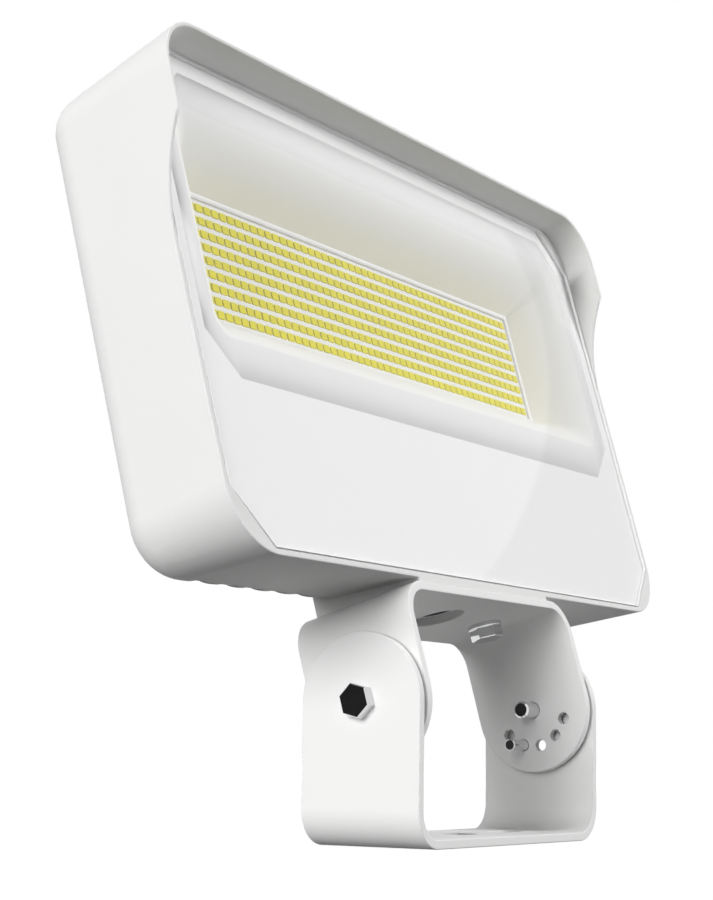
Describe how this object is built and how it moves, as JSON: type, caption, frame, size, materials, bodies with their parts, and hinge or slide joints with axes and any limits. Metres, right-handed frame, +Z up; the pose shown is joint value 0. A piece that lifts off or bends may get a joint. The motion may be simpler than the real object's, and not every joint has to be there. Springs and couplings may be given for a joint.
{
  "type": "flood light",
  "caption": "Flat rectangular flood light with a short visor over an eight-sided pane, tilting on a yoke between the arms of a U bracket.",
  "frame": {"origin": "centre of the bore in the bracket's base, on the face that is bolted down, under the tilt axis", "axes": "+X along the tilt axis, to the right as seen from the lit side; +Y to the back; +Z up from the base"},
  "size_m": [0.287, 0.0972, 0.2544],
  "materials": {
    "white_cast": "satin white powder coat on die-cast aluminium",
    "white_plate": "satin white powder coat on bent steel plate",
    "bolt_steel": "bright zinc-plated steel",
    "washer_black": "black nylon",
    "clear_glass": "clear toughened glass",
    "mask_white": "white print and sheet behind the pane",
    "seal_black": "black silicone rubber",
    "reflector_white": "white reflective sheet",
    "board_white": "white solder mask on an aluminium board",
    "phosphor_yellow": "yellow phosphor",
    "thermal_grey": "grey thermal sheet",
    "driver_metal": "plain aluminium case, potted",
    "surge_blue": "moulded blue plastic",
    "terminal_grey": "moulded grey plastic",
    "lead_red": "red silicone lead",
    "vent_black": "moulded black plastic"
  },
  "bodies": {
    "base": {"lower_bracket": "white_plate"},
    "head": {"upper_bracket": "white_plate", "pivot_bolts": "bolt_steel", "friction_washers": "washer_black", "yoke_washers": "bolt_steel", "yoke_bolts": "bolt_steel", "housing": "white_cast", "lens_glass": "clear_glass", "front_mask": "mask_white", "lens_gasket": "seal_black", "reflector": "reflector_white", "led_board": "board_white", "thermal_pad": "thermal_grey", "led_chips": "phosphor_yellow", "board_screws": "bolt_steel", "driver_case": "driver_metal", "driver_screws": "bolt_steel", "surge_protector": "surge_blue", "terminal_block": "terminal_grey", "led_leads": "lead_red", "cable_grommet": "seal_black", "breather_vent": "vent_black", "vent_seal": "seal_black"},
    "lock_screw": {"lock_screw": "bolt_steel"}
  },
  "joints": [
    {"name": "head_tilt", "type": "hinge", "parent": "base", "child": "head", "pos_m": [0, 0, 0.0459], "axis": [1, 0, 0], "range_deg": [-30, 22.5]},
    {"name": "lock_screw_draw", "type": "slide", "parent": "head", "child": "lock_screw", "axis": [1, 0, 0], "range_m": [0, 0.014]}
  ]
}
